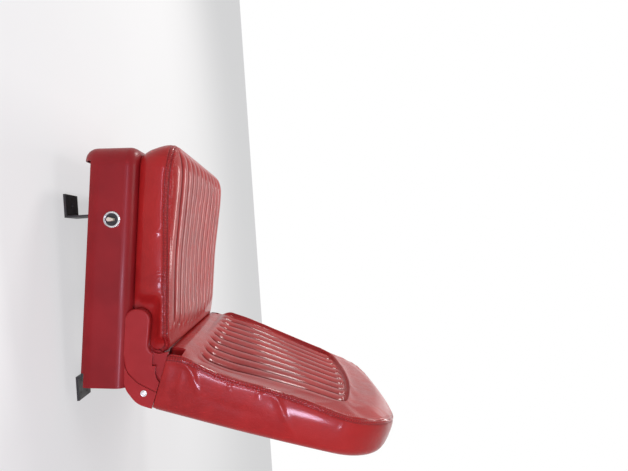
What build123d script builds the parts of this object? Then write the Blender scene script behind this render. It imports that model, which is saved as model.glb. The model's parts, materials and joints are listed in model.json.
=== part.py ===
"""Front bucket seat of a two-door car: pleated cushion and folding backrest on a sliding base.

Axes: +X points outboard (the driver's left), +Y points to the rear, +Z points up.
The origin is the centre of the four floor bolts, on the floor.
The base is drawn in its own frame (x, v, w), tilted with the rails, and the backrest in a
frame (x, n, u), where n runs from the face to the rear and u runs up along the lean.
"""
from build123d import *
import os
from math import asin, cos, hypot, radians, sin, sqrt, tan

# Placing of the base and of the backrest
rail_tilt = 6.4
rail_height = 35.9
back_lean = 20.0
pivot_v = 147.2
pivot_w = 212.8
pivot_n = 27.5
pivot_u = 18.0

# Forward fold of the backrest, for the clearances
fold_angle = 40.0

# Floor fixing and slide rails
bolt_spacing_x = 380.0
bolt_spacing_y = 420.0
bolt_hole_r = 4.5
foot_plate_t = 5.0
foot_plate_x = 60.0
foot_plate_y = 50.0
foot_web_t = 4.0
rail_width = 44.0
rail_depth = 22.0
rail_sheet = 2.5
rail_lip = 9.0
lower_rail_length = 360.0
upper_rail_length = 360.0
upper_rail_centre_v = -20.0
shoe_height = 6.2
stem_width = 8.0
stem_top_w = 34.0
running_gap = 0.3
track_tie_width = 34.0
track_tie_t = 3.0

# Base frame, springs and drive
frame_half_width = 257.0
frame_front_v = -314.0
frame_rear_v = 182.0
frame_top_w = 116.0
frame_depth = 32.0
frame_sheet = 3.0
frame_flange = 24.0
cross_front_v = -175.0
cross_rear_v = 105.0
cross_width = 44.0
cross_sheet = 2.5
spring_wire = 3.0
spring_count = 5
spring_pitch_x = 88.0
spring_zigzag = 26.0
spring_step = 42.0
spring_bend_r = 6.0
spring_seat = 6.0
motor_diameter = 74.0
motor_length = 150.0
motor_v = -110.0
tray_half_width = 60.0
tray_sheet = 2.5
saddle_height = 22.0
shaft_diameter = 8.0
gearbox_width = 38.0
gearbox_height = 50.0

# Base skirt
skirt_side_gap = 26.0
skirt_front_gap = 27.0
skirt_tail = 5.0
skirt_bottom_w = -3.0
skirt_wall = 3.0
skirt_shoulder_r = 25.0
skirt_corner_r = 46.0
skirt_toe_r = 26.0
skirt_rake = 10.0
skirt_lip = 40.0
switch_v = -175.0
switch_w = 73.0
bezel_r = 17.5
bezel_height = 5.5
bezel_wall = 3.2
flute_count = 24
knob_length = 15.0
knob_height = 11.0

# Cushion
cushion_overhang = 17.0
cushion_nose = 12.0
cushion_seat_gap = 0.3
cushion_front_top_w = 224.0
cushion_rear_top_w = 207.0
cushion_edge_r = 24.0
cushion_rear_clear_r = 45.0
cushion_sag = 19.0
pleat_count = 10
pleat_pitch = 47.0
pleat_groove = 3.0
pleat_depth = 4.0
pleat_front_v = -322.0
pleat_rear_v = 93.0
pleat_rear_bow = 28.0

# Arms, their covers and pins
arm_sheet = 5.0
arm_base_w = 107.0
arm_foot_top_w = 160.0
arm_inset = 3.2
pin_r = 6.0
pin_head_r = 10.0
pin_head_t = 3.5
pin_fit = 0.05
pin_tail = 1.4
cover_depth = 17.0
cover_wall = 2.6
cover_step = 7.0
cover_edge_r = 4.0
lobe_step = 2.0
lobe_joint = 0.6
swing_gap = 3.5
screw_v = 197.4
screw_w = 154.1
screw_r = 7.0
screw_shank_r = 2.5

# Backrest
back_height = 582.0
back_depth = 121.0
back_top_depth = 110.0
shoulder_r = 140.0
crown_r = 450.0
bolster_r = 22.0
back_rear_r = 24.0
crest_n = -33.0
chin_n = -8.0
chin_u = 36.0
chin_spare = 3.6
flap_gap = 3.6
flap_wall = 8.4
notch_gap = 1.8
notch_height = 42.0
notch_mouth = 28.0
notch_wall_n = 11.0
notch_depth = 64.0
notch_rear_height = 6.0
plate_slot_gap = 1.3
panel_border = 58.0
panel_drop = 137.0
panel_corner_r = 40.0
panel_crown_r = 800.0
panel_recess = 14.0
cavity_front_n = 66.0
cavity_margin = 38.0
cavity_low_u = 40.0
back_panel_t = 4.0
back_panel_margin = 27.0
back_panel_depth = 106.0
panel_joint = 1.0
hinge_gap = 12.7
hinge_plate_t = 4.0
hinge_plate_top_u = 130.0
back_tube_r = 11.0
back_tube_wall = 1.6
back_tube_drop = 40.0
tube_gap = 0.3

# The seat's layers, from the base frame outwards and inwards
arm_inner_x = frame_half_width
arm_outer_x = arm_inner_x + arm_sheet
cover_outer_x = arm_outer_x + cover_depth
cover_recess_x = cover_outer_x - cover_step
lobe_outer_x = cover_outer_x - lobe_step
flap_inner_x = cover_recess_x + flap_gap
back_half_width = flap_inner_x + flap_wall
panel_half_width = back_half_width - panel_border
hinge_plate_x = arm_inner_x - hinge_gap - hinge_plate_t
notch_inner_x = hinge_plate_x - notch_gap
cushion_half_width = frame_half_width + cushion_overhang
skirt_half_width = frame_half_width + skirt_side_gap

# Lengths and heights that follow the base frame
skirt_front_v = frame_front_v - skirt_front_gap
skirt_rear_v = frame_rear_v + skirt_tail
skirt_top_w = frame_top_w + skirt_wall
cushion_bottom_w = skirt_top_w + cushion_seat_gap
cushion_nose_v = skirt_front_v - cushion_nose
panel_top_u = back_height - panel_drop

seat_place = Location((0, 0, rail_height), (-rail_tilt, 0, 0))
pivot_place = seat_place * Location((0, pivot_v, pivot_w), (rail_tilt - back_lean, 0, 0))
back_place = pivot_place * Location((0, -pivot_n, -pivot_u))


def rounded(rows):
    """Closed outline face from rows of (across, up, corner radius)."""
    corners = []
    for index, (across, up, radius) in enumerate(rows):
        here = Vector(across, up)
        before = (Vector(*rows[index - 1][:2]) - here).normalized()
        after = (Vector(*rows[(index + 1) % len(rows)][:2]) - here).normalized()
        half = radians(before.get_angle(after)) / 2
        reach = radius / tan(half)
        middle = here + (before + after).normalized() * (radius / sin(half) - radius) if radius else here
        corners.append((here + before * reach, middle, here + after * reach, radius))
    edges = []
    for index, (start, middle, end, radius) in enumerate(corners):
        if radius:
            edges.append(ThreePointArc(start, middle, end))
        following = corners[(index + 1) % len(corners)][0]
        if (following - end).length > 0.001:
            edges.append(Line(end, following))
    return make_face(edges)


def slab(face, x_low, x_high):
    """Push a side-view outline from one x plane to another."""
    return extrude(Plane.YZ.offset(x_low) * face, amount=x_high - x_low)


def slant(side_view, half):
    """Solid between a side view's outlines at the two sides, where they differ."""
    return loft([Plane.YZ.offset(x) * side_view(x) for x in (-half, half)], ruled=True)


def box(x_range, y_range, z_range):
    """Block between two corners."""
    size = [high - low for low, high in (x_range, y_range, z_range)]
    middle = [(high + low) / 2 for low, high in (x_range, y_range, z_range)]
    return Pos(*middle) * Box(*size)


def rod(radius, x_low, x_high, v, w):
    """Round bar along X."""
    return Pos((x_low + x_high) / 2, v, w) * (Rot(0, 90, 0) * Cylinder(radius, x_high - x_low))


def both_sides(solid):
    """The part drawn on the +X side, and its mirror image."""
    return {"left": solid, "right": mirror(solid, about=Plane.YZ)}


def floor_track():
    """Lower rails on four feet, tied by a strap: everything that stays on the floor."""
    parts = {}
    half_x = bolt_spacing_x / 2
    half_y = bolt_spacing_y / 2
    half_rail = rail_width / 2
    half_length = lower_rail_length / 2
    channel = rounded([
        (-half_rail, 0, 2), (half_rail, 0, 2), (half_rail, rail_depth, 1),
        (half_rail - rail_lip, rail_depth, 0),
        (half_rail - rail_lip, rail_depth - rail_sheet, 0),
        (half_rail - rail_sheet, rail_depth - rail_sheet, 0), (half_rail - rail_sheet, rail_sheet, 0),
        (rail_sheet - half_rail, rail_sheet, 0), (rail_sheet - half_rail, rail_depth - rail_sheet, 0),
        (rail_lip - half_rail, rail_depth - rail_sheet, 0), (rail_lip - half_rail, rail_depth, 0),
        (-half_rail, rail_depth, 1)])
    rail = extrude(Plane.XZ.offset(-half_length) * (Pos(half_x, 0) * channel), amount=lower_rail_length)
    for side, solid in both_sides(seat_place * rail).items():
        parts[f"rail_lower_{side}"] = solid

    slope = radians(rail_tilt)
    for name, end in (("front", -1), ("rear", 1)):
        web_y = end * (half_y - foot_plate_y / 2)
        tuck_y = web_y - end * 34
        under = [(y, rail_height - y * tan(slope)) for y in (web_y, tuck_y)]
        plate_end = end * (half_y + foot_plate_y / 2)
        side_view = make_face(Polyline(
            (plate_end, 0), (plate_end, foot_plate_t), (web_y, foot_plate_t), under[0], under[1],
            (tuck_y, under[1][1] - foot_web_t), (web_y - end * foot_web_t, under[0][1] - foot_web_t),
            (web_y - end * foot_web_t, 0), close=True))
        foot = slab(side_view, half_x - foot_plate_x / 2, half_x + foot_plate_x / 2)
        hole = Pos(half_x, end * half_y, foot_plate_t / 2) * Cylinder(bolt_hole_r, foot_plate_t * 3)
        for side, solid in both_sides(foot - hole).items():
            parts[f"foot_{name}_{side}"] = solid

    tie_reach = half_x + half_rail
    tie = box((-tie_reach, tie_reach), (-track_tie_width / 2, track_tie_width / 2), (-track_tie_t, 0))
    parts["track_tie"] = seat_place * tie
    return parts


def upper_rail():
    """Slide with a shoe inside the lower rail, a stem and a top flange, on the +X side."""
    half_shoe = rail_width / 2 - rail_sheet - running_gap
    shoe_low = rail_sheet + running_gap
    half_top = rail_width / 2
    half_stem = stem_width / 2
    section = rounded([
        (-half_shoe, shoe_low, 1), (half_shoe, shoe_low, 1), (half_shoe, shoe_low + shoe_height, 1),
        (half_stem, shoe_low + shoe_height, 1), (half_stem, stem_top_w, 1), (half_top, stem_top_w, 0),
        (half_top, stem_top_w + rail_sheet, 0), (-half_top, stem_top_w + rail_sheet, 0),
        (-half_top, stem_top_w, 0), (-half_stem, stem_top_w, 1), (-half_stem, shoe_low + shoe_height, 1),
        (-half_shoe, shoe_low + shoe_height, 1)])
    start = upper_rail_centre_v + upper_rail_length / 2
    return extrude(Plane.XZ.offset(-start) * (Pos(bolt_spacing_x / 2, 0) * section), amount=upper_rail_length)


def cross_member(v):
    """Hat-section channel from rail to rail that lifts the frame off the slides."""
    low = stem_top_w + rail_sheet
    high = frame_top_w - frame_depth
    half = cross_width / 2
    reach = frame_half_width - frame_sheet - 1
    brim = 9
    section = make_face(Polyline(
        (v - half - brim, low), (v - half + cross_sheet, low), (v - half + cross_sheet, high - cross_sheet),
        (v + half - cross_sheet, high - cross_sheet), (v + half - cross_sheet, low), (v + half + brim, low),
        (v + half + brim, low + cross_sheet), (v + half, low + cross_sheet), (v + half, high),
        (v - half, high), (v - half, low + cross_sheet), (v - half - brim, low + cross_sheet), close=True))
    return slab(section, -reach, reach)


def frame_opening(inset):
    """Plan outline of the base frame, pulled in by the inset."""
    x = frame_half_width - inset
    corner = max(30 - inset, 6)
    return rounded([
        (-x, frame_front_v + inset, corner), (x, frame_front_v + inset, corner),
        (x, frame_rear_v - inset, corner), (-x, frame_rear_v - inset, corner)])


def seat_frame():
    """Pressed perimeter frame: an upright web with a flange turned in at the top and the bottom."""
    low = frame_top_w - frame_depth
    outer = extrude(Plane.XY.offset(low) * frame_opening(0), amount=frame_depth)
    inner = extrude(Plane.XY.offset(low + frame_sheet) * frame_opening(frame_sheet),
                    amount=frame_depth - 2 * frame_sheet)
    window = extrude(Plane.XY.offset(low) * frame_opening(frame_flange), amount=frame_depth)
    return outer - inner - window


def seat_springs():
    """Zigzag wires, six-sided, from the front flange to the rear flange just under the cushion."""
    radius = spring_wire / 2
    level = frame_top_w + radius
    front = frame_front_v + frame_flange - spring_seat
    rear = frame_rear_v - frame_flange + spring_seat
    turns = int((rear - front - 2 * spring_step) / spring_step)
    step = (rear - front) / (turns + 2)
    wires = []
    for index in range(spring_count):
        middle = (index - (spring_count - 1) / 2) * spring_pitch_x
        points = [(middle, front)]
        for turn in range(turns):
            side = spring_zigzag / 2 if turn % 2 else -spring_zigzag / 2
            points.append((middle + side, front + step * (turn + 1)))
            points.append((middle - side, front + step * (turn + 1)))
        points.append((middle, rear))
        path = Pos(0, 0, level) * FilletPolyline(*points, radius=spring_bend_r)
        start = Plane(origin=path @ 0, z_dir=path % 0)
        wires.append(sweep(start * RegularPolygon(radius, 6), path=path))
    return wires


def skirt_body(inset):
    """Outside form of the skirt, pulled in by the inset on every face that shows."""
    x = skirt_half_width - inset
    front = skirt_front_v + inset
    top = skirt_top_w - inset
    side_view = rounded([
        (front, top, 0), (front + skirt_rake, skirt_bottom_w + inset, skirt_toe_r - inset),
        (skirt_rear_v, skirt_bottom_w + inset, 0), (skirt_rear_v, top, 0)])
    body = slab(side_view, -x, x)
    upright = [edge for edge in body.edges().filter_by(lambda e: e.length > 60)
               if abs(edge.center().X) > x - 1 and edge.center().Y < front + skirt_rake + 1]
    body = fillet(upright, skirt_corner_r - inset)
    rim = [edge for edge in body.edges()
           if abs(edge.center().Z - top) < 0.01 and edge.center().Y < skirt_rear_v - 1]
    return fillet(rim, skirt_shoulder_r - inset)


def base_skirt():
    """Moulded skirt that wraps the front and both sides, open at the rear and below."""
    outer = skirt_body(0)
    inner = skirt_body(skirt_wall)
    x = skirt_half_width - skirt_wall
    below = box((-x, x), (skirt_front_v + skirt_toe_r + 14, skirt_rear_v), (skirt_bottom_w, 20))
    behind = box((-x, x), (skirt_rear_v - 30, skirt_rear_v),
                 (skirt_bottom_w, skirt_top_w - skirt_shoulder_r - 2))
    opening = rounded([
        (-skirt_half_width + skirt_lip, skirt_front_v + skirt_lip, 20),
        (skirt_half_width - skirt_lip, skirt_front_v + skirt_lip, 20),
        (skirt_half_width - skirt_lip, skirt_rear_v + 10, 0),
        (-skirt_half_width + skirt_lip, skirt_rear_v + 10, 0)])
    window = extrude(Plane.XY.offset(0) * opening, amount=skirt_top_w + 10)
    skirt = outer - inner - below - behind - window
    slot_x = arm_outer_x + 1.5
    slot = box((arm_inner_x - 0.5, slot_x), (10, skirt_rear_v + 5),
               (skirt_top_w - skirt_shoulder_r, skirt_top_w + 5))
    slot += mirror(slot, about=Plane.YZ)
    switch_hole = rod(bezel_r - bezel_wall - 2, skirt_half_width - 10, skirt_half_width + 10,
                      switch_v, switch_w)
    return skirt - slot - switch_hole


def switch_bezel():
    """Fluted ring round the seat switch."""
    ring = rod(bezel_r, skirt_half_width, skirt_half_width + bezel_height, switch_v, switch_w)
    ring = chamfer(ring.edges().filter_by(GeomType.CIRCLE).sort_by(Axis.X)[-1], 1.5)
    ring -= rod(bezel_r - bezel_wall, skirt_half_width + 2, skirt_half_width + bezel_height + 1,
                switch_v, switch_w)
    for index in range(flute_count):
        turn = Rot(index * 360 / flute_count, 0, 0)
        groove = turn * rod(0.9, 1.2, bezel_height + 2, bezel_r + 0.2, 0)
        ring -= Pos(skirt_half_width, switch_v, switch_w) * groove
    return ring


def switch_knob():
    """Tear-drop toggle that stands in the bezel."""
    foot_x = skirt_half_width + 2
    tip = knob_length - 5.5
    face = rounded([(-5.2, -4.5, 4), (5.2, -4.5, 4), (2.6, tip, 2), (-2.6, tip, 2)])
    lever = slab(face, foot_x, foot_x + knob_height)
    lever = fillet(lever.edges().group_by(Axis.X)[-1], 1.0)
    return Pos(0, switch_v, switch_w - 3) * lever


def motor_axis():
    """Height of the motor's axis, on the tray."""
    return stem_top_w + rail_sheet + motor_diameter / 2 + 0.1


def motor_tray():
    """Sheet tray with two saddles, hung under the brim of the front cross member."""
    top = stem_top_w + rail_sheet
    front = cross_front_v + cross_width / 2
    rear = motor_v + motor_diameter / 2
    tray = box((-tray_half_width, tray_half_width), (front, rear), (top - tray_sheet, top))
    for side in (1, -1):
        low_x, high_x = sorted((side * (tray_half_width - 12), side * (tray_half_width - 8)))
        tray += box((low_x, high_x), (motor_v - 26, motor_v + 26), (top, top + saddle_height))
    return tray - rod(motor_diameter / 2 + 0.1, -tray_half_width, tray_half_width, motor_v, motor_axis())


def seat_motor():
    """Drive motor, lying across the base behind the front cross member."""
    return rod(motor_diameter / 2, -motor_length / 2, motor_length / 2, motor_v, motor_axis())


def gearbox():
    """Gear case that stands on the upper rail's flange, on the +X side."""
    low = stem_top_w + rail_sheet
    half = gearbox_width / 2
    x = bolt_spacing_x / 2
    case = box((x - half, x + half), (motor_v - half, motor_v + half), (low, low + gearbox_height))
    return chamfer(case.edges().filter_by(Axis.Z), 5)


def drive_shafts():
    """Cross shafts from the motor's ends to the gear cases."""
    reach = bolt_spacing_x / 2 - gearbox_width / 2
    ends = ((motor_length / 2, reach), (-reach, -motor_length / 2))
    return [rod(shaft_diameter / 2, low, high, motor_v, motor_axis()) for low, high in ends]


def cushion_side_view(x):
    """Crowned side view of the cushion pad, lower towards the door, where the seat is worn."""
    sag = cushion_sag * (x + cushion_half_width) / (2 * cushion_half_width)
    front_top = cushion_front_top_w - sag
    rear_top = cushion_rear_top_w - sag
    rear = pivot_v + 10
    return rounded([
        (cushion_nose_v + 32, cushion_bottom_w, 16), (cushion_nose_v + 3, cushion_bottom_w + 31, 40),
        (cushion_nose_v, front_top - 28 + sag / 2, 24), (cushion_nose_v + 36, front_top + 3, 40),
        (-190, front_top - 1, 300), (0, rear_top + 5, 300),
        (rear, rear_top, 0), (rear, cushion_bottom_w, 0)])


def pleat_seams():
    """Stitched grooves between the cushion's pleats, which end on a bow before the backrest."""
    reach = pleat_count * pleat_pitch / 2
    grooves = []
    for index in range(pleat_count + 1):
        x = index * pleat_pitch - reach
        side_view = cushion_side_view(x)
        skin = side_view - Pos(0, -pleat_depth) * side_view
        rear = pleat_rear_v - pleat_rear_bow * (x / reach) ** 2
        length = rear - pleat_front_v
        height = 2 * cushion_front_top_w
        middle = Pos(pleat_front_v + length / 2, cushion_bottom_w + height / 2)
        band = skin & (middle * Rectangle(length, height))
        grooves.append(slab(band, x - pleat_groove / 2, x + pleat_groove / 2))
    return grooves


def seat_cushion():
    """Cushion pad: crowned and pleated on top, cut away for the arms and the backrest."""
    half = cushion_half_width
    rear = pivot_v + 10
    body = slant(cushion_side_view, half)
    upright = [edge for edge in body.edges() if abs(edge.center().X) > half - 1]
    top_line = [edge for edge in upright if edge.center().Z > 150 and edge.center().Y < rear - 1]
    body = fillet(top_line, cushion_edge_r)
    around_pivot = rod(cushion_rear_clear_r, -half - 5, half + 5, pivot_v, pivot_w)
    above = box((-half - 5, half + 5), (pivot_v - cushion_rear_clear_r, rear + 40), (pivot_w, pivot_w + 60))
    behind = box((-half - 5, half + 5), (pivot_v, rear + 5), (pivot_w - cushion_rear_clear_r, pivot_w + 5))
    body = body - around_pivot - above - behind
    for groove in pleat_seams():
        body -= groove
    pocket_x = arm_inner_x - 0.6
    foot_front, neck_front = pivot_v - 139, pivot_v - 49
    for side in (1, -1):
        low_x, high_x = sorted((side * pocket_x, side * (half + 5)))
        body -= box((low_x, high_x), (foot_front, rear + 5), (cushion_bottom_w - 5, arm_foot_top_w + 6))
        body -= box((low_x, high_x), (neck_front, rear + 5), (arm_foot_top_w - 10, cushion_rear_top_w + 40))
    return body


def arm_outline():
    """Side view of the hinge arm, below and round the pivot."""
    base = arm_base_w + arm_inset
    foot_top = arm_foot_top_w - arm_inset
    return rounded([
        (pivot_v - 128, base + 1, 16.8), (pivot_v + 3, base - 1, 60), (pivot_v + 39, base + 5, 40),
        (pivot_v + 71, base + 32, 40), (pivot_v + 78, base + 60, 6), (pivot_v + 49, pivot_w - 29, 12),
        (pivot_v + 19, pivot_w - 20, 4), (pivot_v + 10, pivot_w + 11, 9), (pivot_v - 10, pivot_w + 11, 9),
        (pivot_v - 20, pivot_w - 17, 20), (pivot_v - 38, pivot_w - 27, 12), (pivot_v - 43, foot_top, 18),
        (pivot_v - 120, foot_top, 22)])


def hinge_arm():
    """Steel arm from the base frame up to the fold pivot, on the +X side."""
    tab_low = frame_top_w - frame_depth + 4
    tab = rounded([
        (pivot_v - 117, tab_low, 8), (pivot_v + 37, tab_low, 8), (pivot_v + 37, arm_base_w + 18, 0),
        (pivot_v - 117, arm_base_w + 18, 0)])
    bore = rod(pin_r, arm_inner_x - 1, arm_outer_x + 1, pivot_v, pivot_w)
    return slab(arm_outline(), arm_inner_x, arm_outer_x) + slab(tab, arm_inner_x, arm_outer_x) - bore


def swing_clearance():
    """Side view of what the flap of the backrest sweeps, so the covers stay out of it."""
    return Pos(pivot_v, pivot_w) * Circle(hypot(pivot_n, pivot_u) + swing_gap)


def back_edge(offset):
    """Side view of everything above the backrest's lower edge, in the base frame."""
    lean = back_lean - rail_tilt
    plane = Pos(pivot_v, pivot_w) * Rot(0, 0, -lean) * Pos(0, -pivot_u - offset + 100)
    return plane * Rectangle(600, 200)


def cover_rear_edge():
    """Lower and rear edge of the J-shaped cover, which the lobe behind it follows."""
    return [(pivot_v - 131, arm_base_w, 24), (pivot_v - 35, arm_base_w - 1.5, 60),
            (pivot_v + 5, arm_base_w + 8, 40), (pivot_v + 29, arm_base_w + 34, 60),
            (pivot_v + 49, pivot_w - 29, 0)]


def arm_cover():
    """Smooth J-shaped moulding over the arm, with a recess where the backrest swings."""
    full = rounded(cover_rear_edge() + [
        (pivot_v + 3, pivot_w + 3, 0), (pivot_v - 40, pivot_w - 8, 0), (pivot_v - 34, pivot_w - 33, 0),
        (pivot_v - 41, arm_foot_top_w - 2, 20), (pivot_v - 132, arm_foot_top_w + 2, 26)])
    tongue = Pos(pivot_v - 60, pivot_w) * Rectangle(100, 86)
    raised = full - swing_clearance() - back_edge(2.0) - tongue
    low = full - back_edge(2.0)
    shell = slab(raised, arm_outer_x, cover_outer_x)
    rim = [edge for edge in shell.edges().group_by(Axis.X)[-1] if edge.center().Z < arm_foot_top_w + 5]
    shell = fillet(rim, cover_edge_r)
    shell += slab(low, arm_outer_x, cover_recess_x)
    shell -= slab(offset(raised, amount=-cover_wall), arm_outer_x, cover_outer_x - cover_wall)
    shell -= slab(offset(low, amount=-cover_wall), arm_outer_x, cover_recess_x - cover_wall)
    return shell - skirt_body(-lobe_joint)


def arm_end_cover():
    """Lobe behind the J moulding, held by one screw."""
    disc = rounded([
        (pivot_v - 47, arm_base_w + 3, 0), (pivot_v + 3, arm_base_w + 0.5, 60),
        (pivot_v + 41, arm_base_w + 6, 50), (pivot_v + 74, arm_base_w + 33, 50),
        (pivot_v + 84, pivot_w - 37, 0), (pivot_v - 27, pivot_w - 3, 0)])
    front = rounded(cover_rear_edge() + [
        (pivot_v + 3, pivot_w + 13, 0), (pivot_v - 87, pivot_w + 13, 0), (pivot_v - 87, arm_base_w - 17, 0)])
    outline = disc - offset(front, amount=lobe_joint) - back_edge(2.0)
    lobe = slab(outline, arm_outer_x, lobe_outer_x)
    hole = rod(screw_shank_r, arm_outer_x - 1, lobe_outer_x + 1, screw_v, screw_w)
    return lobe - hole - skirt_body(-lobe_joint)


def arm_screw():
    """Oval-head screw in a cup washer."""
    head = rod(screw_r, lobe_outer_x, lobe_outer_x + 2.2, screw_v, screw_w)
    head = fillet(head.edges().filter_by(GeomType.CIRCLE).sort_by(Axis.X)[-1], 1.6)
    shank = rod(screw_shank_r, arm_outer_x + 0.5, lobe_outer_x, screw_v, screw_w)
    return head + shank


def pivot_pin():
    """Shouldered pin, fast in the arm, that the backrest turns on."""
    pin = rod(pin_r, hinge_plate_x - pin_tail, arm_outer_x, pivot_v, pivot_w)
    return pin + rod(pin_head_r, arm_outer_x, arm_outer_x + pin_head_t, pivot_v, pivot_w)


def arch(half, top, side_r, crown, low):
    """Front outline of the backrest: straight sides, round shoulders and a shallow crown."""
    centre_u = top - crown + sqrt((crown - side_r) ** 2 - (half - side_r) ** 2)
    crown_u = top - crown
    share = (half - side_r) / (crown - side_r)
    meet = (crown * share, crown_u + crown * sqrt(1 - share ** 2))
    tilt = (asin(share) + radians(90)) / 2
    mid = (half - side_r + side_r * sin(tilt), centre_u + side_r * cos(tilt))
    return make_face(Curve() + [
        Line((-half, low), (half, low)),
        Line((half, low), (half, centre_u)),
        ThreePointArc((half, centre_u), mid, meet),
        ThreePointArc(meet, (0, top), (-meet[0], meet[1])),
        ThreePointArc((-meet[0], meet[1]), (-mid[0], mid[1]), (-half, centre_u)),
        Line((-half, centre_u), (-half, low))])


def face_rows(x, setback):
    """Side view of the face's crest, from below up, moved back by the setback and by the wear."""
    # n, u, corner radius, how far the door side is worn back
    rows = ((0, -30, 0, 31), (0, 125, 320, 49), (22, 280, 600, 22), (39, back_height - 177, 380, 5),
            (50, back_height - 44, 60, 0), (102, back_height + 14, 0, 0))
    share = (x + back_half_width) / (2 * back_half_width)
    return [(crest_n + n + worn * share + setback, u, r) for n, u, r, worn in rows]


def sunk_side_view(x):
    """Side view of what is in front of the sunk panel."""
    return rounded(face_rows(x, panel_recess) + [(-100, back_height + 18, 0), (-100, -30, 0)])


def push_back(face, n_low, n_high):
    """Push a front-view outline from one depth to another in the backrest's frame."""
    return extrude(Plane.XZ.offset(-n_high) * face, amount=n_high - n_low)


def back_side_view(x):
    """Side view of the backrest."""
    return rounded(face_rows(x, 0) + [
        (back_top_depth + 4, back_height + 14, 0), (back_depth - 5, back_height - 162, 300),
        (back_depth, 210, 600), (back_depth + 1, -30, 0)])


def back_body():
    """Backrest form before it is hollowed: side view crossed with the arched front view."""
    half = back_half_width
    body = slant(back_side_view, half)
    return body & push_back(arch(half, back_height, shoulder_r, crown_r, -30), crest_n - 33, back_depth + 20)


def back_pleat_seams():
    """Stitched grooves between the upright pleats of the backrest's sunk panel."""
    pitch = 2 * panel_half_width / pleat_count
    low_u = chin_u + 24
    high_u = panel_top_u - panel_corner_r
    grooves = []
    for index in range(1, pleat_count):
        x = (index - pleat_count / 2) * pitch
        skin = Pos(pleat_depth, 0) * sunk_side_view(x)
        band = skin & (Pos(0, (low_u + high_u) / 2) * Rectangle(200, high_u - low_u))
        grooves.append(slab(band, x - pleat_groove / 2, x + pleat_groove / 2))
    return grooves


def back_cushion():
    """Backrest pad: boxing, facing with a sunk panel, swing notches and a pocket for the frame."""
    body = back_body()
    front = [edge for edge in body.edges()
             if edge.center().Y < 60 and edge.center().Z > -29 and abs(edge.center().X) > 0.1
             or edge.center().Y < 100 and edge.center().Z > back_height - 30]
    body = fillet(front, bolster_r)
    rear = [edge for edge in body.edges()
            if edge.center().Y > back_top_depth - 10 and edge.center().Z > -29 and abs(edge.center().X) > 0.1
            or edge.center().Y > back_top_depth - 10 and edge.center().Z > back_height - 30]
    body = fillet(rear, back_rear_r)
    chin_rise = tan(radians(fold_angle - back_lean + rail_tilt + chin_spare))
    far_n = crest_n - 53
    chin = make_face(Polyline(
        (0, 0), (chin_n, chin_u), (far_n, chin_u + (chin_n - far_n) * chin_rise), (far_n, -60),
        (back_depth + 80, -60), (back_depth + 80, 0), close=True))
    body -= slab(chin, -back_half_width - 5, back_half_width + 5)
    sunk = slant(sunk_side_view, back_half_width)
    sunk &= push_back(arch(panel_half_width, panel_top_u, panel_corner_r, panel_crown_r, -20), -80, 60)
    body -= sunk
    for groove in back_pleat_seams():
        body -= groove
    pocket = arch(back_half_width - cavity_margin, back_height - cavity_margin, shoulder_r - cavity_margin,
                  crown_r - cavity_margin, cavity_low_u)
    body -= push_back(pocket, cavity_front_n, back_depth + 20)
    rebate = arch(back_half_width - back_panel_margin, back_height - back_panel_margin,
                  shoulder_r - back_panel_margin, crown_r - back_panel_margin, back_panel_margin)
    body -= push_back(rebate, back_panel_depth, back_depth + 20)
    for side in (1, -1):
        low_x, high_x = sorted((side * notch_inner_x, side * flap_inner_x))
        body -= box((low_x, high_x), (crest_n - 33, notch_depth), (-5, notch_mouth))
        body -= box((low_x, high_x), (notch_wall_n, notch_depth), (-5, notch_height))
        body -= box((low_x, high_x), (notch_depth - 5, back_depth + 5), (-5, notch_rear_height))
        slot_x = (hinge_plate_x - plate_slot_gap, hinge_plate_x + hinge_plate_t + plate_slot_gap)
        low_x, high_x = sorted((side * slot_x[0], side * slot_x[1]))
        body -= box((low_x, high_x), (pivot_n - 18, cavity_front_n + 30), (-5, notch_height + 22))
    return body


def back_panel():
    """Trimmed board that closes the back of the backrest."""
    margin = back_panel_margin + panel_joint
    face = arch(back_half_width - margin, back_height - margin, shoulder_r - margin, crown_r - margin, margin)
    return push_back(face, back_panel_depth, back_panel_depth + back_panel_t)


def back_frame():
    """Bent tube loop with the two hinge plates, inside the pad."""
    reach = hinge_plate_x - back_tube_r - tube_gap
    top = back_height - cavity_margin - back_tube_r - back_tube_drop
    level = cavity_front_n + back_tube_r + tube_gap
    bottom = cavity_low_u + back_tube_r + 2
    path = Plane.XZ.offset(-level) * FilletPolyline(
        (0, bottom), (reach, bottom), (reach, top), (-reach, top), (-reach, bottom), (0, bottom),
        radius=[0, 30, 118, 118, 30])
    start = Plane(origin=path @ 0, z_dir=path % 0)
    loop = sweep(start * (Circle(back_tube_r) - Circle(back_tube_r - back_tube_wall)), path=path)
    plate = slab(rounded([
        (pivot_n - 14, pivot_u - 13, 12), (pivot_n + 15, pivot_u - 12, 12),
        (level + 10, notch_height + 2, 10), (level + 10, hinge_plate_top_u, 8),
        (level - 9, hinge_plate_top_u, 8), (level - 9, notch_height + 21, 6),
        (pivot_n - 14, pivot_u + 16, 12)]), hinge_plate_x, hinge_plate_x + hinge_plate_t)
    bore = rod(pin_r + pin_fit, hinge_plate_x - 1, hinge_plate_x + hinge_plate_t + 1, pivot_n, pivot_u)
    return loop, plate - bore


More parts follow.
